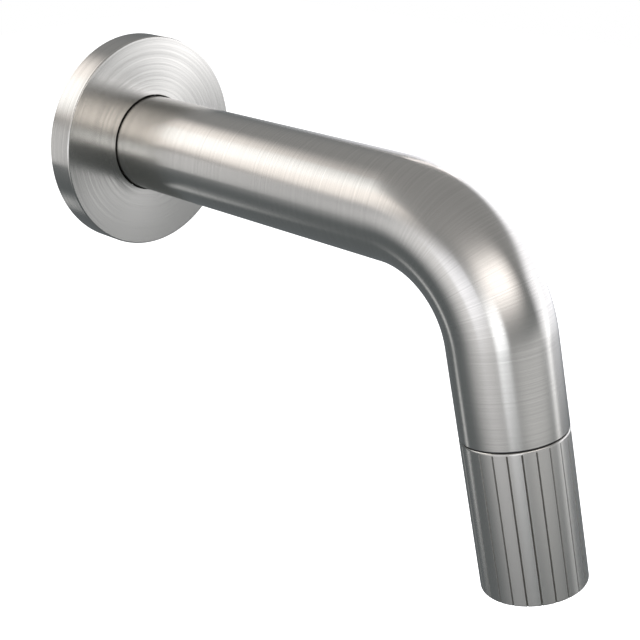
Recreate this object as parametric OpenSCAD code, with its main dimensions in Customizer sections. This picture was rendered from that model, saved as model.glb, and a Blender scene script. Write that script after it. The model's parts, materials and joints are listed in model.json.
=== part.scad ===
// Wall mounted bath faucet: a bent tube spout whose ribbed end sleeve turns to open a ceramic valve.
// Origin: where the inlet thread meets the wall, on the tube's axis. +Z up, the room is towards -Y.

/* [Spout] */
// Outside diameter of the tube and of the grip
tube_d = 28; // [27.9:0.1:28.4]
// Wall thickness of the tube
tube_wall = 1.5; // [1.4:0.05:1.5]
// Straight length from the wall to the start of the bend
straight_length = 103; // [90:1:180]
// Radius of the bend, at the tube's axis
bend_radius = 34; // [28:1:60]
// Angle that the bend turns the water through
bend_angle = 77; // [60:1:90]
// Straight length between the bend and the seam above the grip
outlet_run = 24; // [22:1:60]

/* [Wall flange] */
// Outside diameter of the flange
flange_d = 63; // [60:1:90]
// How far the flange stands off the wall
flange_depth = 8.2; // [7.6:0.2:12]
// Thickness of the flange's front plate
flange_plate = 2; // [1.5:0.1:2.4]
// Gap between the flange and the tube
flange_gap = 0.35; // [0.3:0.05:0.4]

/* [Wall connection] */
// Major diameter of the pipe thread that screws into the wall
thread_d = 20.96; // [20.5:0.01:21]
// Length of thread behind the wall's face
thread_length = 14; // [12:0.5:20]
// How far the nipple reaches into the spout
nipple_reach = 28.5; // [26:0.5:30]
// Size across flats of the hexagon inside the nipple
nipple_hex = 12; // [10:0.5:12]

/* [Grip] */
// Length of the turning sleeve
grip_length = 42; // [42:1:60]
// Number of grooves round the sleeve
groove_count = 24; // [8:1:36]
// Width of a groove at the surface
groove_width = 0.46; // [0.3:0.02:0.8]
// Depth of a groove
groove_depth = 0.32; // [0.2:0.02:0.6]
// Where the first groove stands, round from the right hand side
groove_phase = 4.3; // [0:0.1:15]
// Angle between shut and fully open
valve_turn = 90; // [60:5:90]

/* [Aerator] */
// Outside diameter of the aerator's housing
aerator_d = 23.8; // [23.6:0.05:23.85]
// Size across flats of one honeycomb cell
cell_size = 1.9; // [1.6:0.1:2.4]

/* [Hidden] */
$fn = 96;

steel = "#b4b3ae";
dark_steel = "#8c8c88";
brass = "#c9a850";
rubber = "#26262a";
ceramic = "#ecebe6";
plastic = "#d9dadb";

press = 0.02;
tube_r = tube_d / 2;
bore_r = tube_r - tube_wall;
edge = 0.4;
seam = 0.4;

// Distances along the inlet, measured out from the wall.
tube_start = 1;
bush_length = 30;
bush_bore_r = 10.1;
shank_r = bush_bore_r - 0.1;
o_groove_root = 8.4;
o_groove_width = 2.4;
o_groove_at = [13, 20];
nipple_o_section = 0.82;
lock_at = 7;
lock_groove = [4.4, 9.6];
lock_groove_root = 9.2;
screw_r = 2.45;
strainer_r = 7.5;
strainer_depth = 5;
water_r = 5.5;

// Distances along the outlet, measured down from the seam.
outlet_bush_top = -20;
bush_floor = -17.5;
valve_r = 9.95;
valve_top = -16.5;
valve_collar_r = 11.6;
valve_collar = 3;
disc_room_r = 8.3;
stop_top = -8.4;
stop_room_r = 7.2;
stop_lug_r = 8.1;
stop_lug_angle = 30;
bearing_top = -5;
bearing_r = 6.3;
shaft_r = bearing_r - 0.05;
spindle_bore_r = 4;
spindle_end = 21.5;
fixed_disc = [-14.45, -11.5];
moving_disc = [-11.45, -8.5];
port_r = [2.2, 6.2];
port_angle = 80;
dog_angle = 24;
spline_count = 18;
spline = [8, 14];
spline_depth = 0.5;
spline_width = 0.9;
nut_thread_r = 5.5;
core_top = 7;
core_floor = 16;
core_end = 25.5;
sleeve_bore_r = 12;
housing_top = 27.05;
housing_end = grip_length - 0.6;
housing_r = aerator_d / 2;
insert_r = 10.1;

// Local z runs out from the wall, local y is up.
module from_wall(h) { rotate([90, 0, 0]) translate([0, 0, h]) children(); }

// Local z runs down the outlet, from the seam above the grip.
module from_seam(s) {
    translate([0, -straight_length, -bend_radius])
        rotate([bend_angle, 0, 0])
            translate([0, 0, bend_radius])
                rotate([90, 0, 0])
                    translate([0, 0, outlet_run + s])
                        children();
}

// A turned piece from its outline, as [radius, height] points.
module turned(outline) { rotate_extrude() polygon(outline); }

module ring(outer, inner, height) {
    difference() {
        cylinder(r = outer, h = height);
        translate([0, 0, -1]) cylinder(r = inner, h = height + 2);
    }
}

module o_ring(middle, section) { rotate_extrude() translate([middle, 0]) circle(r = section); }

// A slice of a ring, centred on the angle mid.
module ring_slice(outer, inner, height, mid, width) {
    rotate([0, 0, mid - width / 2])
        rotate_extrude(angle = width)
            translate([inner, 0]) square([outer - inner, height]);
}

// A flat plate with round holes in rings: 6 in the first ring, 12 in the second, and so on.
module pierced_disc(outer, height, hole_r, pitch, rings) {
    linear_extrude(height) difference() {
        circle(r = outer);
        circle(r = hole_r);
        for (n = [1 : rings], k = [0 : 6 * n - 1])
            rotate(k * 60 / n) translate([n * pitch, 0]) circle(r = hole_r);
    }
}

// ---- Spout, fixed to the wall ----

// The bend's wall is a hair thinner and runs a little way into the outlet run, so that the two fuse cleanly.
module tube_run(inner, outer) {
    hair = 0.03;
    run_in = 0.3;
    from_wall(tube_start) ring(outer, inner, straight_length - tube_start);
    translate([0, -straight_length, -bend_radius]) rotate([0, -90, 180])
        rotate_extrude(angle = bend_angle + run_in) translate([bend_radius, 0]) difference() {
            circle(r = outer - hair);
            circle(r = inner + hair);
        }
    from_seam(-outlet_run) ring(outer, inner, outlet_run);
}

module spout_tube() {
    color(steel) difference() {
        tube_run(bore_r, tube_r);
        lock_hole(screw_r + 0.15);
    }
}

module lock_hole(radius) {
    from_wall(lock_at) rotate([90, 0, 0]) cylinder(r = radius, h = tube_r + 2);
}

module inlet_bush() {
    color(dark_steel) difference() {
        from_wall(tube_start) ring(bore_r - press, bush_bore_r, bush_length);
        lock_hole(screw_r + 0.05);
    }
}

module inlet_nipple() {
    color(brass) from_wall(0) difference() {
        turned([
            [2, -thread_length],
            [thread_d / 2 - 0.5, -thread_length],
            [thread_d / 2, -thread_length + 0.5],
            [thread_d / 2, 0],
            [shank_r, 0],
            [shank_r, lock_groove[0]],
            [lock_groove_root, lock_groove[0]],
            [lock_groove_root, lock_groove[1]],
            [shank_r, lock_groove[1]],
            for (at = o_groove_at) each [
                [shank_r, at],
                [o_groove_root, at],
                [o_groove_root, at + o_groove_width],
                [shank_r, at + o_groove_width]
            ],
            [shank_r, nipple_reach - 0.8],
            [shank_r - 0.8, nipple_reach],
            [2, nipple_reach]
        ]);
        translate([0, 0, -thread_length - 1])
            cylinder(r = water_r, h = thread_length + nipple_reach + 2);
        translate([0, 0, -thread_length - 1]) cylinder(r = strainer_r + 0.1, h = strainer_depth + 1);
        translate([0, 0, nipple_reach - 12])
            cylinder(r = nipple_hex / 2 / cos(30), h = 13, $fn = 6);
    }
}

module nipple_o_ring(index) {
    color(rubber) from_wall(o_groove_at[index] + o_groove_width / 2)
        o_ring(o_groove_root + nipple_o_section + press, nipple_o_section);
}

module nipple_o_ring_rear() { nipple_o_ring(0); }

module nipple_o_ring_front() { nipple_o_ring(1); }

module inlet_strainer() {
    color(plastic) from_wall(-thread_length + 0.1) {
        pierced_disc(strainer_r, 0.8, 0.65, 2, 3);
        ring(strainer_r, strainer_r - 1.1, strainer_depth - 0.2);
    }
}

module grub_screw() {
    color(dark_steel) from_wall(lock_at) rotate([90, 0, 0]) difference() {
        translate([0, 0, lock_groove_root + 0.1])
            cylinder(r = screw_r, h = tube_r - 0.3 - lock_groove_root - 0.1);
        translate([0, 0, tube_r - 2.6]) cylinder(r = 1.25 / cos(30), h = 4, $fn = 6);
    }
}

module outlet_bush() {
    color(dark_steel) from_seam(0) turned([
        [6.5, outlet_bush_top],
        [bore_r - press, outlet_bush_top],
        [bore_r - press, 0],
        [valve_collar_r + 0.15, 0],
        [valve_collar_r + 0.15, -1.9],
        [valve_r + 0.05, -1.9],
        [valve_r + 0.05, bush_floor],
        [6.5, bush_floor]
    ]);
}

module cartridge_body() {
    color(brass) from_seam(0) difference() {
        turned([
            [disc_room_r, valve_top],
            [valve_r, valve_top],
            [valve_r, press],
            [valve_collar_r, press],
            [valve_collar_r, valve_collar],
            [bearing_r, valve_collar],
            [bearing_r, bearing_top],
            [stop_room_r, bearing_top],
            [stop_room_r, stop_top],
            [disc_room_r, stop_top]
        ]);
        translate([0, 0, stop_top - 1])
            ring_slice(disc_room_r + 0.1, stop_room_r - 1, bearing_top - stop_top + 1,
                valve_turn / 2, valve_turn + stop_lug_angle + 2);
    }
}

module cartridge_o_ring() {
    color(rubber) from_seam(-0.95) o_ring(valve_r + 0.9, 0.85);
}

module disc_seal() {
    color(rubber) from_seam(bush_floor + press)
        ring(disc_room_r - 0.1, 6.5, fixed_disc[0] - bush_floor - 2 * press);
}

// The two discs have the same pair of ports, and the valve is shut a quarter turn from where they meet.
module ceramic_disc(radius, span, port_mid) {
    from_seam(span[0]) difference() {
        cylinder(r = radius, h = span[1] - span[0]);
        for (side = [0, 180])
            translate([0, 0, -1])
                ring_slice(port_r[1], port_r[0], span[1] - span[0] + 2, port_mid + side, port_angle);
    }
}

module fixed_ceramic_disc() { color(ceramic) ceramic_disc(disc_room_r - 0.1, fixed_disc, 45 + valve_turn); }

module slide_ring() { color(rubber) from_seam(press) ring(13.6, 12.6, 0.26); }

// ---- Flange, which slides along the tube ----

module wall_flange() {
    inner_r = tube_r + flange_gap;
    rim_r = flange_d / 2;
    rim_wall = 1.6;
    boss_r = inner_r + 3.15;
    back_of_plate = flange_depth - flange_plate;
    color(steel) from_wall(0) turned([
        [rim_r - rim_wall, 0],
        [rim_r, 0],
        [rim_r, flange_depth - edge],
        [rim_r - edge, flange_depth],
        [inner_r + 0.15, flange_depth],
        [inner_r, flange_depth - 0.15],
        [inner_r, 5],
        [inner_r + 1.25, 5],
        [inner_r + 1.25, 3],
        [inner_r, 3],
        [inner_r, 1.5],
        [boss_r, 1.5],
        [boss_r, back_of_plate],
        [rim_r - rim_wall, back_of_plate]
    ]);
}

module flange_o_ring() { color(rubber) from_wall(4) o_ring(tube_r + 0.8, 0.74); }

module wall_gasket() {
    outer = flange_d / 2 - 1.6 - press;
    color(rubber) from_wall(0) ring(outer, outer - 2.2, 1.2);
}

// ---- Grip, which turns about the outlet ----

module grip_sleeve() {
    groove_top = seam + edge + 0.25;
    clear = 1;
    flare = groove_width / 2 * (groove_depth + clear) / groove_depth;
    color(steel) from_seam(0) difference() {
        turned([
            [sleeve_bore_r, seam],
            [tube_r - edge, seam],
            [tube_r, seam + edge],
            [tube_r, grip_length - edge],
            [tube_r - edge, grip_length],
            [sleeve_bore_r + 0.3, grip_length],
            [sleeve_bore_r, grip_length - 0.3]
        ]);
        for (k = [0 : groove_count - 1])
            rotate([0, 0, groove_phase + k * 360 / groove_count])
                translate([tube_r, 0, groove_top])
                    linear_extrude(grip_length)
                        polygon([[-groove_depth, 0], [clear, -flare], [clear, flare]]);
    }
}

module spline_bars(inner, outer, width, length) {
    for (k = [0 : spline_count - 1])
        rotate([0, 0, k * 360 / spline_count])
            translate([inner, -width / 2, 0])
                cube([outer - inner, width, length]);
}

module grip_core() {
    color(plastic) from_seam(0) {
        turned([
            [shaft_r + 0.07, core_top],
            [sleeve_bore_r - press, core_top],
            [sleeve_bore_r - press, core_end],
            [10.7, core_end],
            [10.7, core_floor],
            [nut_thread_r + 0.1, core_floor],
            [nut_thread_r + 0.1, spline[1] + press],
            [shaft_r + 0.07, spline[1] + press]
        ]);
        translate([0, 0, spline[0] + 0.1])
            spline_bars(shaft_r - spline_depth + 0.1, shaft_r + 0.5, spline_width - 0.2, 5.7);
    }
}

module hollow_spindle() {
    color(brass) from_seam(0) difference() {
        union() {
            turned([
                [spindle_bore_r, -6.6],
                [5.6, -8.35],
                [6.9, -8.35],
                [6.9, bearing_top - 0.1],
                [shaft_r, bearing_top - 0.1],
                for (at = [-4.4, -1.6]) each [
                    [shaft_r, at],
                    [5.1, at],
                    [5.1, at + 1.9],
                    [shaft_r, at + 1.9]
                ],
                [shaft_r, 3.7],
                [5.5, 3.7],
                [5.5, 4.6],
                [shaft_r, 4.6],
                [shaft_r, spline[1]],
                [nut_thread_r, spline[1]],
                [nut_thread_r, spindle_end - 0.5],
                [nut_thread_r - 0.5, spindle_end],
                [spindle_bore_r, spindle_end]
            ]);
            translate([0, 0, stop_top + 0.2])
                ring_slice(stop_lug_r, 6.5, 3, 0, stop_lug_angle);
            for (side = [135, 315])
                translate([0, 0, -9.4]) ring_slice(6.8, 5.8, 1.2, side, dog_angle);
        }
        translate([0, 0, spline[0]])
            spline_bars(shaft_r - spline_depth, shaft_r + 1, spline_width, spline[1] - spline[0] + 1);
    }
}

module spindle_o_ring(at) { color(rubber) from_seam(at) o_ring(5.68, 0.56); }

module spindle_o_ring_upper() { spindle_o_ring(-3.45); }

module spindle_o_ring_lower() { spindle_o_ring(-0.65); }

module moving_ceramic_disc() {
    color(ceramic) difference() {
        ceramic_disc(disc_room_r - 0.3, moving_disc, 45);
        for (side = [135, 315])
            from_seam(-9.5) ring_slice(7.1, 5.7, 2, side, dog_angle + 2);
    }
}

module thrust_washer() { color(plastic) from_seam(valve_collar + 0.05) ring(8.4, 6.35, 0.6); }

module circlip() {
    color(dark_steel) from_seam(3.75) difference() {
        ring(7.6, 5.55, 0.8);
        translate([0, 0, -1]) ring_slice(9, 4, 3, 90, 55);
    }
}

module nut_washer() { color(rubber) from_seam(core_floor + press) ring(9.4, nut_thread_r + 0.1, 0.96); }

module retaining_nut() {
    color(brass) from_seam(core_floor + 1) difference() {
        cylinder(r = 17 / 2 / cos(30), h = 4, $fn = 6);
        translate([0, 0, -1]) cylinder(r = nut_thread_r + press, h = 6);
    }
}

module aerator_washer() { color(rubber) from_seam(core_end + press) ring(11.8, 9, 1.5); }

module aerator_housing() {
    lip_r = 9;
    color(plastic) from_seam(0) difference() {
        turned([
            [10.2, housing_top],
            [housing_r, housing_top],
            [housing_r, housing_end],
            [lip_r, housing_end],
            [lip_r, housing_end - 1.1],
            [10.2, housing_end - 1.1]
        ]);
        for (k = [0 : 11])
            rotate([0, 0, k * 30])
                translate([10.8, -0.9, housing_end - 1]) cube([2, 1.8, 2]);
    }
}

module aerator_screen() {
    color(plastic) from_seam(housing_top + 0.1) pierced_disc(insert_r, 0.8, 0.6, 1.6, 5);
}

module aerator_insert() {
    color(plastic) from_seam(housing_top + 1) {
        pierced_disc(insert_r, 2.4, 0.75, 2.2, 3);
        translate([0, 0, 2.4]) ring(insert_r, insert_r - 1, 6.2);
    }
}

// Honeycomb: hexagonal cells in a triangular grid, kept where they fit inside the rim.
module outlet_grille() {
    pitch = cell_size + 0.35;
    cell_r = cell_size / 2 / cos(30);
    reach = 4;
    color(plastic) from_seam(housing_end - 4.2) linear_extrude(3) difference() {
        circle(r = insert_r);
        for (i = [-reach : reach], j = [-reach : reach]) {
            x = pitch * (i + j / 2);
            y = pitch * j * cos(30);
            if (norm([x, y]) < 8.9 - cell_r * 0.4)
                translate([x, y]) rotate(30) circle(r = cell_r, $fn = 6);
        }
    }
}

spout_tube();
inlet_bush();
inlet_nipple();
nipple_o_ring_rear();
nipple_o_ring_front();
inlet_strainer();
grub_screw();
outlet_bush();
cartridge_body();
cartridge_o_ring();
disc_seal();
fixed_ceramic_disc();
slide_ring();
wall_flange();
flange_o_ring();
wall_gasket();
grip_sleeve();
grip_core();
hollow_spindle();
spindle_o_ring_upper();
spindle_o_ring_lower();
moving_ceramic_disc();
thrust_washer();
circlip();
nut_washer();
retaining_nut();
aerator_washer();
aerator_housing();
aerator_screen();
aerator_insert();
outlet_grille();
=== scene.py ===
import json
import math

import bpy
from mathutils import Matrix, Vector


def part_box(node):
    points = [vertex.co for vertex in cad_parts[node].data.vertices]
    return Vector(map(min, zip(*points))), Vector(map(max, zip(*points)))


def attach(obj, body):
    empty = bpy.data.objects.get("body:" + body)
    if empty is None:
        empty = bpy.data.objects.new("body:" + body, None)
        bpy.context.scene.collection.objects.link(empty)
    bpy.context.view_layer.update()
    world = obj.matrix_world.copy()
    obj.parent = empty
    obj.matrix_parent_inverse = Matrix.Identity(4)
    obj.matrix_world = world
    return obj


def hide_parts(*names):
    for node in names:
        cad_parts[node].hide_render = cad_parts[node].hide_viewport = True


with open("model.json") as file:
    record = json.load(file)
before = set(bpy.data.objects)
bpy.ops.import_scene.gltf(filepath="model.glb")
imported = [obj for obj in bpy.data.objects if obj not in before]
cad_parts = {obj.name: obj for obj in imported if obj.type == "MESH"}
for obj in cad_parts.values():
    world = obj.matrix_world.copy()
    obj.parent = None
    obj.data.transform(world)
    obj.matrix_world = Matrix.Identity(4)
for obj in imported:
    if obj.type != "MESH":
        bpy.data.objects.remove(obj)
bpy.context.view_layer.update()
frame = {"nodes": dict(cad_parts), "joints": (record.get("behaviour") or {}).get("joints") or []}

scene = bpy.context.scene
bpy.ops.object.select_all(action="DESELECT")


# ---- Camera ----
# The tap is seen from its left and a little above, through a short tele lens about 36 cm from the flange.
# The grip is nearer than the flange, so the perspective makes the tube widen towards it.

camera_data = bpy.data.cameras.new("camera")
camera = bpy.data.objects.new("camera", camera_data)
scene.collection.objects.link(camera)
camera_azimuth = math.radians(-47.962)
camera_elevation = math.radians(24.266)
camera_roll = math.radians(-0.254)
camera.location = (-0.21945, -0.27403, 0.09423)
camera_back = Vector((
    math.sin(camera_azimuth) * math.cos(camera_elevation),
    -math.cos(camera_azimuth) * math.cos(camera_elevation),
    math.sin(camera_elevation),
))
upright = (-camera_back).to_track_quat("-Z", "Y")
camera.rotation_mode = "QUATERNION"
camera.rotation_quaternion = upright @ Matrix.Rotation(camera_roll, 4, "Z").to_quaternion()
camera_data.sensor_width = 36
camera_data.lens = 64.70
camera_data.clip_start = 0.01
camera_data.clip_end = 20
scene.camera = camera
scene.view_settings.view_transform = "Standard"


# ---- Floor and light ----
# A plain pale floor far below, and studio walls that are white to the camera and dim in the steel.
# Softboxes a metre off, hidden from the camera, make the bands of light along the steel.

def linear(hex_colour):
    """An sRGB hex colour as linear red, green, blue and alpha."""
    parts = [int(hex_colour[i:i + 2], 16) / 255 for i in (1, 3, 5)]
    return [p / 12.92 if p <= 0.04045 else ((p + 0.055) / 1.055) ** 2.4 for p in parts] + [1]


def add_node(tree, kind, inputs=None, **settings):
    """A node of this kind, with its settings, and its inputs set or linked."""
    node = tree.nodes.new(kind)
    for name, value in settings.items():
        setattr(node, name, value)
    for name, value in (inputs or {}).items():
        if isinstance(value, bpy.types.NodeSocket):
            tree.links.new(value, node.inputs[name])
        else:
            node.inputs[name].default_value = value
    return node


def new_material(name):
    """An empty node material, its tree and its surface output."""
    material = bpy.data.materials.new(name)
    material.use_nodes = True
    tree = material.node_tree
    tree.nodes.clear()
    output = tree.nodes.new("ShaderNodeOutputMaterial")
    return material, tree, output.inputs["Surface"]


# The floor glows, so that it is evenly pale, and the steel doesn't reflect it.
floor_drop = 0.8
bpy.ops.mesh.primitive_plane_add(size=8, location=(0, 0, -floor_drop))
floor = bpy.context.object
floor.name = "floor"
floor.visible_glossy = False
paint, tree, surface = new_material("pale_floor_paint")
shader = add_node(tree, "ShaderNodeBsdfPrincipled", {
    "Base Color": linear("#fbfbfb"), "Roughness": 0.9,
    "Emission Color": linear("#ffffff"), "Emission Strength": 1.0})
tree.links.new(shader.outputs[0], surface)
floor.data.materials.append(paint)

# The walls that the steel reflects grow paler from the horizon up.
world = bpy.data.worlds.new("studio_walls")
scene.world = world
world.use_nodes = True
tree = world.node_tree
tree.nodes.clear()
direction = add_node(tree, "ShaderNodeTexCoord").outputs["Generated"]
height = add_node(tree, "ShaderNodeSeparateXYZ", {"Vector": direction}).outputs["Z"]
rise = add_node(tree, "ShaderNodeMapRange", {
    "Value": height, "From Min": 0.0, "From Max": 0.7}, interpolation_type="SMOOTHSTEP").outputs["Result"]
dim_walls = add_node(tree, "ShaderNodeMix", {
    "Factor": rise, "A": linear("#707578"), "B": linear("#aaaaab")}, data_type="RGBA").outputs["Result"]
seen = add_node(tree, "ShaderNodeLightPath").outputs["Is Camera Ray"]
walls = add_node(tree, "ShaderNodeMix", {
    "Factor": seen, "A": dim_walls, "B": linear("#ffffff")}, data_type="RGBA").outputs["Result"]
room = add_node(tree, "ShaderNodeBackground", {"Color": walls, "Strength": 1.0})
tree.links.new(room.outputs[0], add_node(tree, "ShaderNodeOutputWorld").inputs["Surface"])


tap_middle = Vector((0, -0.09, -0.01))


def softbox(name, azimuth, elevation, width, height, tilt, fade, colour, strength):
    """A lit cloth one metre from the tap's middle and square to it, which fades towards its edges.

    Azimuth 0 is straight out from the wall, and it grows to the right, seen from the room. Angles are
    in degrees and sizes in metres. fade is the share of the half width that the light takes to fade.
    """
    azimuth, elevation = math.radians(azimuth), math.radians(elevation)
    away = Vector((math.sin(azimuth) * math.cos(elevation), -math.cos(azimuth) * math.cos(elevation),
                   math.sin(elevation)))
    bpy.ops.mesh.primitive_plane_add(size=1)
    cloth = bpy.context.object
    cloth.name = cloth.data.name = name
    cloth.data.transform(Matrix.Diagonal((width, height, 1, 1)))
    turn = away.to_track_quat("Z", "Y").to_matrix().to_4x4() @ Matrix.Rotation(math.radians(tilt), 4, "Z")
    cloth.matrix_world = Matrix.Translation(tap_middle + away) @ turn
    cloth.visible_camera = False
    cloth.visible_shadow = False
    glow, tree, surface = new_material(name + "_glow")
    spot = add_node(tree, "ShaderNodeTexCoord").outputs["Object"]
    spot = add_node(tree, "ShaderNodeSeparateXYZ", {"Vector": spot})
    lit = strength
    for axis, half in (("X", width / 2), ("Y", height / 2)):
        out = add_node(tree, "ShaderNodeMath", {0: spot.outputs[axis]}, operation="ABSOLUTE").outputs[0]
        part = add_node(tree, "ShaderNodeMapRange", {
            "Value": out, "From Min": half, "From Max": half * (1 - fade)},
            interpolation_type="SMOOTHSTEP").outputs["Result"]
        lit = add_node(tree, "ShaderNodeMath", {0: part, 1: lit}, operation="MULTIPLY").outputs[0]
    lamp = add_node(tree, "ShaderNodeEmission", {"Color": linear(colour), "Strength": lit})
    beyond = add_node(tree, "ShaderNodeBsdfTransparent")
    both = add_node(tree, "ShaderNodeAddShader", {0: lamp.outputs[0], 1: beyond.outputs[0]})
    tree.links.new(both.outputs[0], surface)
    cloth.data.materials.append(glow)


# The long strip behind lights the straight run from end to end, and the broad cloths give the wide bands.
softbox("strip_over_left_shoulder", azimuth=-148, elevation=31, width=1.64, height=0.67, tilt=-16,
        fade=0.58, colour="#fff7f3", strength=1.58)
softbox("front_cloth", azimuth=0, elevation=-8, width=2.8, height=0.41, tilt=7,
        fade=0.85, colour="#fefdff", strength=0.91)
softbox("left_cloth", azimuth=-91, elevation=-5, width=2.7, height=1.4, tilt=5,
        fade=1.0, colour="#fefcff", strength=1.23)
softbox("right_cloth", azimuth=81, elevation=5, width=3.0, height=1.1, tilt=-8,
        fade=0.64, colour="#f8f8ff", strength=1.7)

# The others give the narrow bright lines, and front_spot the bright spot on the bend.
softbox("low_right_spot", azimuth=46, elevation=-8, width=1.3, height=0.26, tilt=48,
        fade=1.0, colour="#fcfcff", strength=1.55)
softbox("rear_spot", azimuth=-153, elevation=31, width=0.47, height=0.69, tilt=-30,
        fade=0.36, colour="#ccedff", strength=0.39)
softbox("left_rear_cloth", azimuth=-144, elevation=-3, width=0.34, height=0.48, tilt=-13,
        fade=0.1, colour="#fffdff", strength=0.75)
softbox("front_spot", azimuth=-28, elevation=30, width=2.1, height=0.78, tilt=17,
        fade=0.87, colour="#fff9f8", strength=2.25)
softbox("left_spot", azimuth=-52, elevation=-1, width=0.59, height=0.51, tilt=22,
        fade=0.61, colour="#f5f8ff", strength=2.02)
softbox("low_rear_strip", azimuth=-167, elevation=-37, width=0.2, height=0.34, tilt=0,
        fade=0.8, colour="#fdfdff", strength=0.95)
softbox("right_strip", azimuth=117, elevation=24, width=0.08, height=0.35, tilt=-61,
        fade=0.13, colour="#fff7f7", strength=3.5)
softbox("left_strip", azimuth=-86, elevation=3, width=0.55, height=0.41, tilt=35,
        fade=0.11, colour="#ebeeff", strength=0.68)
bpy.ops.object.select_all(action="DESELECT")


# ---- Spout tube ----
# One length of 28 mm stainless tube, bent on a mandrel and brushed round its girth with an abrasive belt.
# Its rear end is drilled from below for the grub screw, and its front end meets the turning sleeve.

# A millimetre, in metres.
MM = 0.001
joints = {joint["name"]: joint for joint in frame["joints"]}
outlet_axis = Vector(joints["grip_turn"]["axis"]).normalized()
seam = Vector(joints["grip_turn"]["pos_m"])
tube_low, tube_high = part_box("spout_tube")
tube_r = (tube_high.x - tube_low.x) / 2
tube_wall = 1.5 * MM
tube_back = tube_high.y
# The tube's middle line: straight out from the wall, round a bend, and straight on to the seam.
bend_r = 34 * MM
bend_angle = math.atan2(-outlet_axis.z, -outlet_axis.y)
outlet_run = (-seam.z - bend_r * (1 - math.cos(bend_angle))) / math.sin(bend_angle)
straight_end = seam.y + bend_r * math.sin(bend_angle) + outlet_run * math.cos(bend_angle)
bend_centre = Vector((0, straight_end, -bend_r))
bend_end = seam - outlet_axis * outlet_run
outlet_top = Vector((0, outlet_axis.z, -outlet_axis.y))

# Turned pieces are made about Z. These lay them along the inlet, or along the outlet from the seam down.
from_wall = Matrix.Rotation(math.radians(90), 4, "X")
from_seam = Matrix.Translation(seam) @ Matrix.Rotation(math.radians(90) + bend_angle, 4, "X")


def only(piece):
    """Makes the piece the one that operators act on."""
    bpy.ops.object.select_all(action="DESELECT")
    piece.select_set(True)
    bpy.context.view_layer.objects.active = piece


def placed(piece, matrix):
    """Moves the mesh itself by the matrix, so that the object stays at the origin."""
    piece.data.transform(matrix @ piece.matrix_world)
    piece.matrix_world = Matrix.Identity(4)


def apply_modifier(piece, kind, **settings):
    """Adds a modifier with these settings and applies it."""
    only(piece)
    modifier = piece.modifiers.new(kind.lower(), kind)
    for key, value in settings.items():
        setattr(modifier, key, value)
    bpy.ops.object.modifier_apply(modifier=modifier.name)


def smooth(piece, degrees=30):
    """Smooth shading that breaks at edges sharper than this and keeps large faces true."""
    only(piece)
    bpy.ops.object.shade_smooth_by_angle(angle=math.radians(degrees))
    apply_modifier(piece, "WEIGHTED_NORMAL", keep_sharp=True)
    bpy.ops.object.select_all(action="DESELECT")


def brushed_map(piece, flatten):
    """Records each point of the surface as on a flat or straight workpiece, for the brushing to follow.

    flatten gives a point's place with the line across the scratches last. The map's U runs across them too.
    """
    map_length = 100 * MM
    mesh = piece.data
    flat = [Vector(flatten(v.co)) for v in mesh.vertices]
    layer = mesh.attributes.new("workpiece", "FLOAT_VECTOR", "POINT")
    layer.data.foreach_set("vector", [c for p in flat for c in p])
    across = mesh.uv_layers.new(name="across")
    for face in mesh.polygons:
        turns = [math.atan2(flat[v].y, flat[v].x) / math.tau for v in face.vertices]
        if max(turns) - min(turns) > 0.5:
            turns = [t + 1 if t < 0 else t for t in turns]
        for loop, v, t in zip(face.loop_indices, face.vertices, turns):
            across.data[loop].uv = (flat[v].z / map_length, t)


def straightened(p):
    """A point of the bent tube as it lay in the straight tube, with the length last."""
    if p.y > straight_end:
        return (p.x, p.z, -p.y)
    spoke = p - bend_centre
    turn = math.atan2(-spoke.y, spoke.z)
    length = -straight_end + bend_r * min(turn, bend_angle)
    if turn < bend_angle:
        return (p.x, math.hypot(spoke.y, spoke.z) - bend_r, length)
    past = p - bend_end
    return (p.x, past.dot(outlet_top), length + past.dot(outlet_axis))


# A noise texture's values lie mostly between these.
noise_low, noise_high = 0.3, 0.7


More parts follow.
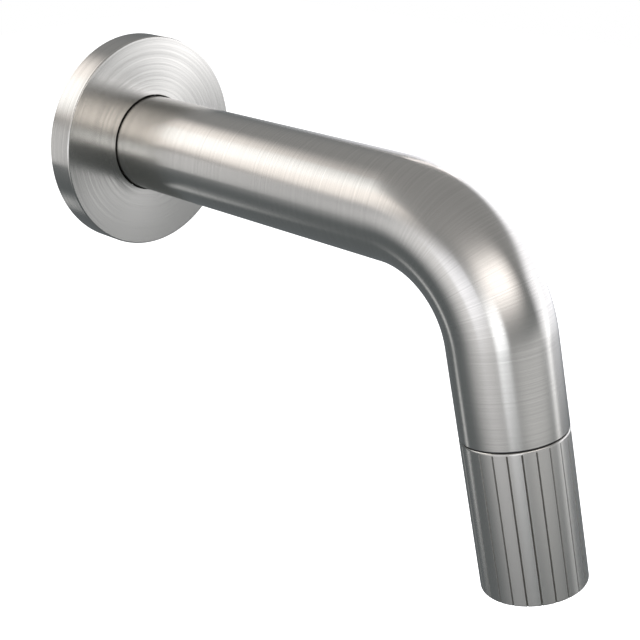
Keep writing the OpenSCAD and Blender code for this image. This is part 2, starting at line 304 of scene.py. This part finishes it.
def brushed_steel(name, colour, roughness, anisotropy, scratch_mm, scratch_length_mm, share, dulling,
                  bump_mm):
    """Brushed stainless: long scratches round the piece, read from its workpiece record.

    scratch_mm is their spacing. Real ones are finer than the eye resolves from here, so these are
    drawn as coarse as they need to be to show. share is how much the scratches vary the steel's colour,
    and dulling how much they vary its roughness.
    """
    material, tree, surface = new_material(name)
    place = add_node(tree, "ShaderNodeAttribute", attribute_name="workpiece").outputs["Vector"]
    along = 1 / (scratch_length_mm * MM)
    across = 1 / (scratch_mm * MM)
    fine_place = add_node(tree, "ShaderNodeMapping", {
        "Vector": place, "Scale": (along, along, across)}).outputs["Vector"]
    fine = add_node(tree, "ShaderNodeTexNoise", {
        "Vector": fine_place, "Scale": 1.0, "Detail": 3.0, "Roughness": 0.7}).outputs["Fac"]
    elsewhere = (3, 5, 7)
    broad_place = add_node(tree, "ShaderNodeMapping", {
        "Vector": place, "Location": elsewhere,
        "Scale": (along / 2, along / 2, across / 2.5)}).outputs["Vector"]
    broad = add_node(tree, "ShaderNodeTexNoise", {
        "Vector": broad_place, "Scale": 1.0, "Detail": 2.0, "Roughness": 0.5}).outputs["Fac"]
    worn = add_node(tree, "ShaderNodeMix", {
        "Factor": 0.3, "A": fine, "B": broad}, data_type="FLOAT").outputs["Result"]
    shade = add_node(tree, "ShaderNodeMapRange", {
        "Value": worn, "From Min": noise_low, "From Max": noise_high,
        "To Min": 1 - share, "To Max": 1 + share}).outputs["Result"]
    tint = add_node(tree, "ShaderNodeMix", {
        "Factor": 1.0, "A": linear(colour), "B": shade}, data_type="RGBA", blend_type="MULTIPLY")
    rough = add_node(tree, "ShaderNodeMapRange", {
        "Value": worn, "From Min": noise_low, "From Max": noise_high,
        "To Min": roughness * (1 + dulling), "To Max": roughness * (1 - dulling)}).outputs["Result"]
    relief = add_node(tree, "ShaderNodeBump", {
        "Strength": 1.0, "Distance": bump_mm * MM, "Height": worn}).outputs["Normal"]
    tangent = add_node(tree, "ShaderNodeTangent", direction_type="UV_MAP", uv_map="across").outputs[0]
    shader = add_node(tree, "ShaderNodeBsdfPrincipled", {
        "Base Color": tint.outputs["Result"], "Metallic": 1.0, "Roughness": rough,
        "Anisotropic": anisotropy, "Tangent": tangent, "Normal": relief})
    tree.links.new(shader.outputs[0], surface)
    return material


# Bare stainless is a faintly warm grey. The belt's scratches run round the tube, so the bright lines along
# it stay sharp across and blur along its length.
stainless = "#c3c1bc"
tube_steel = brushed_steel(
    "belt_brushed_stainless", stainless, roughness=0.22, anisotropy=0.7,
    scratch_mm=0.26, scratch_length_mm=60, share=0.09, dulling=0.08, bump_mm=0.0003)

bpy.ops.mesh.primitive_circle_add(
    vertices=144, radius=tube_r, location=(0, tube_back, 0), rotation=(math.radians(90), 0, 0))
spout_tube = bpy.context.object
spout_tube.name = "bent_spout_tube"
bpy.ops.object.mode_set(mode="EDIT")
bpy.ops.mesh.select_all(action="SELECT")
straight_steps = 12
for step in range(straight_steps):
    bpy.ops.mesh.extrude_region_move(
        TRANSFORM_OT_translate={"value": (0, (straight_end - tube_back) / straight_steps, 0)})
bpy.ops.mesh.spin(steps=72, angle=-bend_angle, center=bend_centre, axis=(1, 0, 0))
outlet_steps = 3
for step in range(outlet_steps):
    bpy.ops.mesh.extrude_region_move(
        TRANSFORM_OT_translate={"value": outlet_axis * outlet_run / outlet_steps})
bpy.ops.mesh.select_all(action="SELECT")
bpy.ops.mesh.remove_doubles(threshold=1e-6)
bpy.ops.mesh.normals_make_consistent(inside=False)
bpy.ops.object.mode_set(mode="OBJECT")
placed(spout_tube, Matrix.Identity(4))
apply_modifier(spout_tube, "SOLIDIFY", thickness=tube_wall, offset=-1, use_even_offset=True)
apply_modifier(spout_tube, "BEVEL", width=0.15 * MM, segments=2, limit_method="ANGLE",
               angle_limit=math.radians(50))
# The grub screw's hole, drilled through the lower wall.
lock_at = 7 * MM
lock_hole_r = 2.6 * MM
bpy.ops.mesh.primitive_cylinder_add(
    vertices=48, radius=lock_hole_r, depth=10 * MM, location=(0, -lock_at, -tube_r))
drill = bpy.context.object
apply_modifier(spout_tube, "BOOLEAN", object=drill, operation="DIFFERENCE", solver="EXACT")
bpy.data.objects.remove(drill)
brushed_map(spout_tube, straightened)
spout_tube.data.materials.clear()
spout_tube.data.materials.append(tube_steel)
smooth(spout_tube)
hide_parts("spout_tube")
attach(spout_tube, "spout")


# ---- Inlet bush ----
# A turned stainless liner brazed into the rear of the tube, for the nipple's O-rings to seal in.
# Only its end and its bore show, from behind.

def dress(material, *nodes):
    """Gives these pieces of the CAD frame the material."""
    for node in nodes:
        for place in frame["nodes"][node].material_slots:
            place.material = material


def lathe_metal(name, colour, roughness, lean, line_mm=0.25):
    """Turned metal with fine tool lines round its axis, which leans by this angle about X from upright.

    line_mm is the lines' spacing, coarser than a real cut leaves, so that they show. They drift in shade
    over drift_mm on the way round.
    """
    drift_mm = 25
    material, tree, surface = new_material(name)
    place = add_node(tree, "ShaderNodeTexCoord").outputs["Object"]
    place = add_node(tree, "ShaderNodeMapping", {
        "Vector": place, "Rotation": (-lean, 0, 0)}, vector_type="POINT").outputs["Vector"]
    place = add_node(tree, "ShaderNodeVectorMath", {
        0: place, 1: (1 / (drift_mm * MM), 1 / (drift_mm * MM), 1 / (line_mm * MM))},
        operation="MULTIPLY").outputs[0]
    lines = add_node(tree, "ShaderNodeTexNoise", {
        "Vector": place, "Scale": 1.0, "Detail": 2.0, "Roughness": 0.6}).outputs["Fac"]
    shade = add_node(tree, "ShaderNodeMapRange", {
        "Value": lines, "From Min": noise_low, "From Max": noise_high,
        "To Min": 0.9, "To Max": 1.1}).outputs["Result"]
    tint = add_node(tree, "ShaderNodeMix", {
        "Factor": 1.0, "A": linear(colour), "B": shade}, data_type="RGBA", blend_type="MULTIPLY")
    rough = add_node(tree, "ShaderNodeMapRange", {
        "Value": lines, "From Min": noise_low, "From Max": noise_high,
        "To Min": roughness * 1.2, "To Max": roughness * 0.8}).outputs["Result"]
    relief = add_node(tree, "ShaderNodeBump", {
        "Strength": 1.0, "Distance": 0.004 * MM, "Height": lines}).outputs["Normal"]
    shader = add_node(tree, "ShaderNodeBsdfPrincipled", {
        "Base Color": tint.outputs["Result"], "Metallic": 1.0, "Roughness": rough, "Normal": relief})
    tree.links.new(shader.outputs[0], surface)
    return material


inlet_lean = math.radians(90)
outlet_lean = math.radians(90) + bend_angle
dress(lathe_metal("turned_stainless_inlet", "#b2b1ad", 0.28, inlet_lean), "inlet_bush")


# ---- Inlet nipple ----
# A brass nipple that is turned into the pipe fitting in the wall with a hexagon key.
# It has a half inch pipe thread behind the wall, and in front two O-ring grooves and one for the grub screw.

def turned(name, outline, steps):
    """A piece turned about Z: the outline's (radius, height) points, in mm, are extruded and spun."""
    bpy.ops.object.select_all(action="DESELECT")
    bpy.ops.mesh.primitive_plane_add(size=MM)
    piece = bpy.context.object
    piece.name = piece.data.name = name
    bpy.ops.object.mode_set(mode="EDIT")
    bpy.ops.mesh.select_all(action="SELECT")
    bpy.ops.mesh.merge(type="CENTER")
    points = [Vector((r * MM, 0, z * MM)) for r, z in outline]
    bpy.ops.transform.translate(value=points[0])
    for before, after in zip(points, points[1:] + points[:1]):
        bpy.ops.mesh.extrude_region_move(TRANSFORM_OT_translate={"value": after - before})
    bpy.ops.mesh.select_all(action="SELECT")
    bpy.ops.mesh.remove_doubles(threshold=1e-6)
    bpy.ops.mesh.select_all(action="SELECT")
    bpy.ops.mesh.spin(steps=steps, angle=math.tau, center=(0, 0, 0), axis=(0, 0, 1))
    bpy.ops.mesh.select_all(action="SELECT")
    bpy.ops.mesh.remove_doubles(threshold=1e-6)
    bpy.ops.mesh.normals_make_consistent(inside=False)
    bpy.ops.object.mode_set(mode="OBJECT")
    return piece


# A half inch pipe thread, all in millimetres: outer radius, pitch, root radius and length.
thread_r = 10.48
thread_pitch = 1.814
thread_root = thread_r - 1.16
thread_end = 14
# The shank, with its chamfer, its groove for the grub screw and its two O-ring grooves.
shank_r = 10
nipple_end = 28.5
nipple_chamfer = 0.8
lock_groove_r = 9.2
o_ring_groove_r = 8.4
o_ring_groove_width = 2.4
o_ring_grooves = [13, 20]
# The bore, the strainer's seat behind it and the hexagon for the key in front.
bore_r = 5.5
bore_mouth_r = 6.4
strainer_seat_r = 7.6
strainer_seat_depth = 5
key_across = 12
key_hole_length = 13

nipple = turned("threaded_inlet_nipple", [
    (strainer_seat_r, -thread_end), (thread_root - 0.3, -thread_end), (thread_root, 0.3 - thread_end),
    (thread_root, -1.2), (thread_r - 0.5, -0.8), (thread_r - 0.3, 0),
    (shank_r, 0), (shank_r, 4.4), (lock_groove_r, 4.4), (lock_groove_r, 9.6), (shank_r, 9.6),
    *[(radius, start + across) for start in o_ring_grooves for radius, across in (
        (shank_r, 0), (o_ring_groove_r, 0),
        (o_ring_groove_r, o_ring_groove_width), (shank_r, o_ring_groove_width))],
    (shank_r, nipple_end - nipple_chamfer), (shank_r - nipple_chamfer, nipple_end),
    (bore_mouth_r, nipple_end), (bore_r, nipple_end - 0.4),
    (bore_r, strainer_seat_depth - thread_end), (strainer_seat_r, strainer_seat_depth - thread_end),
], steps=96)
key_corner_r = key_across / 2 / math.cos(math.radians(30))
key_hole_middle = nipple_end + 1 - key_hole_length / 2
bpy.ops.mesh.primitive_cylinder_add(
    vertices=6, radius=key_corner_r * MM, depth=key_hole_length * MM, location=(0, 0, key_hole_middle * MM))
key_hole = bpy.context.object
apply_modifier(nipple, "BOOLEAN", object=key_hole, operation="DIFFERENCE", solver="EXACT")
bpy.data.objects.remove(key_hole)
bpy.ops.object.select_all(action="DESELECT")

# The thread's ridge, as radii and shares of the pitch, is wound up a helix and cut off flat at both ends.
ridge = [
    (thread_root - 0.3, 0.5), (thread_root - 0.05, 0.04),
    (thread_r, 0.4), (thread_r, 0.6), (thread_root - 0.05, 0.96)]
bpy.ops.mesh.primitive_circle_add(vertices=len(ridge), radius=1)
thread = bpy.context.object
for vertex, (radius, share) in zip(thread.data.vertices, ridge):
    vertex.co = (radius * MM, 0, (share * thread_pitch - thread_end - 2 * thread_pitch) * MM)
apply_modifier(thread, "SCREW", axis="Z", angle=math.tau, screw_offset=thread_pitch * MM, iterations=11,
               steps=72, render_steps=72, use_merge_vertices=True)
bpy.ops.object.mode_set(mode="EDIT")
bpy.ops.mesh.select_all(action="SELECT")
bpy.ops.mesh.bisect(
    plane_co=(0, 0, (0.35 - thread_end) * MM), plane_no=(0, 0, 1), use_fill=True, clear_inner=True)
bpy.ops.mesh.select_all(action="SELECT")
bpy.ops.mesh.bisect(
    plane_co=(0, 0, -0.9 * MM), plane_no=(0, 0, 1), use_fill=True, clear_outer=True)
bpy.ops.mesh.select_all(action="SELECT")
bpy.ops.mesh.normals_make_consistent(inside=False)
bpy.ops.object.mode_set(mode="OBJECT")
only(nipple)
thread.select_set(True)
bpy.ops.object.join()
placed(nipple, from_wall)
nipple.data.materials.clear()
nipple.data.materials.append(lathe_metal("turned_brass_inlet", "#c8a95a", 0.3, inlet_lean))
smooth(nipple)
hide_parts("inlet_nipple")
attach(nipple, "spout")


# ---- Rubber rings of the inlet ----
# Two moulded EPDM O-rings in the nipple's grooves seal it to the bush.
# All the tap's rubber is the same black compound, a little dusty with talc.

def rubber(name, colour, roughness):
    """Moulded rubber: nearly black and dull, with a faint grain and paler dusty patches.

    The grain is coarser than a real mould's, so that it shows.
    """
    material, tree, surface = new_material(name)
    place = add_node(tree, "ShaderNodeTexCoord").outputs["Object"]
    grain = add_node(tree, "ShaderNodeTexNoise", {
        "Vector": place, "Scale": 1 / (0.3 * MM), "Detail": 2.0}).outputs["Fac"]
    dust = add_node(tree, "ShaderNodeTexNoise", {
        "Vector": place, "Scale": 1 / (6 * MM), "Detail": 3.0}).outputs["Fac"]
    tint = add_node(tree, "ShaderNodeMix", {
        "Factor": dust, "A": linear(colour), "B": linear("#3a3a3c")}, data_type="RGBA")
    relief = add_node(tree, "ShaderNodeBump", {
        "Strength": 0.5, "Distance": 0.01 * MM, "Height": grain}).outputs["Normal"]
    shader = add_node(tree, "ShaderNodeBsdfPrincipled", {
        "Base Color": tint.outputs["Result"], "Roughness": roughness, "Normal": relief})
    tree.links.new(shader.outputs[0], surface)
    return material


black_rubber = rubber("black_epdm_rubber", "#1c1c1e", 0.55)
dress(black_rubber, "nipple_o_ring_rear", "nipple_o_ring_front")


# ---- Inlet strainer ----
# A moulded cup with small holes, pushed into the rear of the nipple to keep grit out of the valve.
# White acetal, with the slight sheen and unevenness of a moulding.

def moulded(name, colour, roughness, mottle="#ffffff"):
    """Moulded plastic: one colour with a soft sheen, a faint flow mottle and a spark-eroded skin.

    The skin is coarser than a real mould's, so that it shows.
    """
    material, tree, surface = new_material(name)
    place = add_node(tree, "ShaderNodeTexCoord").outputs["Object"]
    flow = add_node(tree, "ShaderNodeTexNoise", {
        "Vector": place, "Scale": 1 / (5 * MM), "Detail": 2.0}).outputs["Fac"]
    skin = add_node(tree, "ShaderNodeTexNoise", {
        "Vector": place, "Scale": 1 / (0.25 * MM), "Detail": 1.0}).outputs["Fac"]
    share = add_node(tree, "ShaderNodeMath", {0: flow, 1: 0.12}, operation="MULTIPLY").outputs[0]
    tint = add_node(tree, "ShaderNodeMix", {
        "Factor": share, "A": linear(colour), "B": linear(mottle)}, data_type="RGBA")
    rough = add_node(tree, "ShaderNodeMapRange", {
        "Value": flow, "From Min": noise_low, "From Max": noise_high,
        "To Min": roughness * 0.85, "To Max": roughness * 1.15}).outputs["Result"]
    relief = add_node(tree, "ShaderNodeBump", {
        "Strength": 0.4, "Distance": 0.008 * MM, "Height": skin}).outputs["Normal"]
    shader = add_node(tree, "ShaderNodeBsdfPrincipled", {
        "Base Color": tint.outputs["Result"], "Roughness": rough, "Normal": relief})
    tree.links.new(shader.outputs[0], surface)
    return material


white_acetal = moulded("white_acetal", "#e6e5e0", 0.4)
dress(white_acetal, "inlet_strainer")


# ---- Grub screw ----
# A short M5 socket screw from below, which locks the spout to the nipple. The flange covers most of it.
# Hardened steel, blackened in oil, so it is nearly black with a dull sheen.

oiled_steel = lathe_metal("oil_blackened_steel", "#4a4a4e", 0.4, 0.0, line_mm=0.8)
dress(oiled_steel, "grub_screw")


# ---- Outlet bush and valve body ----
# The bush is stainless, brazed into the tube above the seam. The valve body is brass and screws into it,
# sealed by an O-ring, and holds the valve's parts in a stack on the outlet's axis.

brass = lathe_metal("turned_brass_outlet", "#c8a95a", 0.3, outlet_lean)
dress(lathe_metal("turned_stainless_outlet", "#b2b1ad", 0.28, outlet_lean), "outlet_bush")
dress(brass, "cartridge_body")
dress(black_rubber, "cartridge_o_ring", "disc_seal")


# ---- Ceramic discs ----
# Two lapped alumina discs with a pair of ports each; the lower one turns on the upper, which stays still.
# Dense fired ceramic, off-white, nearly a mirror on the lapped faces.

alumina = moulded("lapped_alumina", "#efece4", 0.12, mottle="#f6f2ea")
dress(alumina, "fixed_ceramic_disc", "moving_ceramic_disc")


# ---- Slide ring ----
# A thin black acetal ring between the tube's end and the sleeve's top, which the sleeve turns on.
# It is what makes the seam above the grip look dark.

black_acetal = moulded("black_acetal", "#17171a", 0.35, mottle="#2c2c30")
dress(black_acetal, "slide_ring")


# ---- Wall flange ----
# A cup turned from stainless bar, with a boss inside that slides on the tube.
# Its face keeps the rings of the lathe, its rim is brushed round, and the edge between them is rounded.

def rounded(radius, height, edge, start, end):
    """Outline points round an edge whose corner would stand at this radius and height.

    start and end are the angles from the axis that the surface faces before and after the edge.
    """
    steps = 5
    middle_r = radius - edge
    middle_z = height - edge if min(start, end) < 90 else height + edge
    angles = [math.radians(start + (end - start) * step / steps) for step in range(steps + 1)]
    return [(middle_r + edge * math.sin(a), middle_z + edge * math.cos(a)) for a in angles]


flange_low, flange_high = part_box("wall_flange")
flange_r = (flange_high.x - flange_low.x) / 2 / MM
flange_depth = -flange_low.y / MM
flange_edge = 0.4
flange_bore = tube_r / MM + 0.35
flange_boss = flange_bore + 3.15
boss_back = 1.5
ring_groove_back, ring_groove_front = 3, 5
ring_groove_r = flange_bore + 1.25
bore_chamfer = 0.15
rim_inside = flange_r - 1.6
plate_back = flange_depth - 2

flange = turned("turned_wall_flange", [
    (rim_inside, 0), (flange_r - 0.15, 0), (flange_r, 0.15),
    *rounded(flange_r, flange_depth, flange_edge, 90, 0),
    (flange_bore + bore_chamfer, flange_depth), (flange_bore, flange_depth - bore_chamfer),
    (flange_bore, ring_groove_front), (ring_groove_r, ring_groove_front),
    (ring_groove_r, ring_groove_back), (flange_bore, ring_groove_back),
    (flange_bore, boss_back), (flange_boss, boss_back), (flange_boss, plate_back), (rim_inside, plate_back),
], steps=192)
apply_modifier(flange, "BEVEL", width=0.06 * MM, segments=2, limit_method="ANGLE",
               angle_limit=math.radians(30))


def unrolled_flange(p):
    """A point of the flange by its way round, and its distance out along the face and back along the rim.

    Its way round is measured at one mean radius, so that the rings are the same all over.
    """
    mean_r = 20 * MM
    radius = math.hypot(p.x, p.z)
    on_rim = radius > (flange_r - 0.3) * MM
    out = radius - p.y - flange_depth * MM if on_rim else radius
    return (p.x / radius * mean_r, p.z / radius * mean_r, out)


placed(flange, from_wall)
brushed_map(flange, unrolled_flange)
# The tool's rings catch the light in fans that spread from the middle of the face.
flange_steel = brushed_steel(
    "face_turned_stainless", stainless, roughness=0.22, anisotropy=0.87,
    scratch_mm=0.5, scratch_length_mm=35, share=0.09, dulling=0.27, bump_mm=0.009)
flange.data.materials.append(flange_steel)
smooth(flange)
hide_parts("wall_flange")
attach(flange, "flange")


# ---- Flange rubber ----
# An O-ring in the flange's bore holds it where it is slid to on the tube.
# A flat gasket inside the rim seals against the wall; both are black rubber.

dress(black_rubber, "flange_o_ring", "wall_gasket")


# ---- Ribbed grip sleeve ----
# The handle: a stainless sleeve as thick as the tube, with narrow V grooves milled along it for grip.
# The grooves stop just short of the top edge, which is rounded and catches the light, and run out below.

sleeve_top = 0.4
sleeve_edge = 0.4
sleeve_bore = 12.0
groove_count = 24
groove_phase = math.radians(4.3)
groove_depth = 0.3
groove_start = 1.1
columns_per_groove = 16
sleeve_length = 42.0
grip_r = tube_r / MM

sleeve = turned("ribbed_grip_sleeve", [
    (sleeve_bore, sleeve_top), *rounded(grip_r, sleeve_top, sleeve_edge, 180, 90),
    (grip_r, groove_start - 0.05), (grip_r, groove_start), (grip_r, 15), (grip_r, 28),
    *rounded(grip_r, sleeve_length, sleeve_edge, 90, 0),
    (sleeve_bore + 0.3, sleeve_length), (sleeve_bore, sleeve_length - 0.3),
], steps=groove_count * columns_per_groove)
bpy.ops.object.mode_set(mode="EDIT")
bpy.ops.mesh.select_all(action="DESELECT")
bpy.ops.object.mode_set(mode="OBJECT")
# One column of points in each groove is pushed in, and the faces beside it are the groove's two walls.
column = math.tau / groove_count / columns_per_groove
for vertex in sleeve.data.vertices:
    way_round = math.atan2(vertex.co.y, vertex.co.x) / column
    in_groove = round(way_round) % columns_per_groove == 0
    outside = math.hypot(vertex.co.x, vertex.co.y) > (grip_r - 0.6) * MM
    below_start = vertex.co.z > (groove_start - 0.03) * MM
    vertex.select = in_groove and outside and below_start
bpy.ops.object.mode_set(mode="EDIT")
bpy.ops.mesh.select_mode(type="VERT")
groove_share = 1 - groove_depth / grip_r
bpy.ops.transform.resize(value=(groove_share, groove_share, 1), center_override=(0, 0, 0))
bpy.ops.mesh.select_mode(use_expand=True, type="FACE")
bpy.ops.object.mode_set(mode="OBJECT")
for face in sleeve.data.polygons:
    face.material_index = 1 if face.select else 0
placed(sleeve, Matrix.Rotation(groove_phase, 4, "Z"))


# The sleeve still stands along Z here, as it does on the brushing lathe.
brushed_map(sleeve, lambda p: p)
placed(sleeve, from_seam)
# The sleeve is brushed finer than the tube and looks almost even, so that its grooves stand out.
sleeve_steel = brushed_steel(
    "sleeve_brushed_stainless", stainless, roughness=0.25, anisotropy=0.7,
    scratch_mm=0.35, scratch_length_mm=80, share=0.02, dulling=0.06, bump_mm=0.0001)
# The cutter leaves the grooves' walls duller than the brushed steel and with no grain; their darker colour
# is painted shade.
groove_steel_painted_dark = brushed_steel(
    # This colour is painted darker than the stainless, as painted shade in the grooves.
    "milled_groove_stainless_painted_shade", "#9d9c97", roughness=0.33, anisotropy=0.0,
    scratch_mm=0.35, scratch_length_mm=80, share=0.02, dulling=0.06, bump_mm=0.0001)
sleeve.data.materials.append(sleeve_steel)
sleeve.data.materials.append(groove_steel_painted_dark)
smooth(sleeve, 12)
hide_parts("grip_sleeve")
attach(sleeve, "grip")


# ---- Grip core and spindle ----
# The white acetal core is pressed into the sleeve and splined to the brass spindle that carries the water.
# A circlip, thrust washer and two O-rings keep the spindle in the valve body, and a nut holds the core on.

dress(white_acetal, "grip_core")
dress(brass, "hollow_spindle", "retaining_nut")
dress(black_rubber, "spindle_o_ring_upper", "spindle_o_ring_lower")
dress(black_acetal, "thrust_washer")
# Tempered spring steel is a darker, bluer grey. Vulcanised fibre is red-brown and dull.
dress(lathe_metal("spring_steel", "#77797d", 0.35, outlet_lean), "circlip")
dress(moulded("vulcanised_fibre", "#7a2f22", 0.6, mottle="#94503a"), "nut_washer")


# ---- Aerator ----
# A grey acetal housing screws up against a rubber washer inside the sleeve, flush with its lower end.
# It holds a fine screen, a pierced insert and the honeycomb grille that the water leaves through.

grey_acetal = moulded("grey_acetal", "#a9abad", 0.38, mottle="#c0c2c4")
dress(black_rubber, "aerator_washer")
dress(grey_acetal, "aerator_housing", "outlet_grille")
dress(white_acetal, "aerator_screen", "aerator_insert")
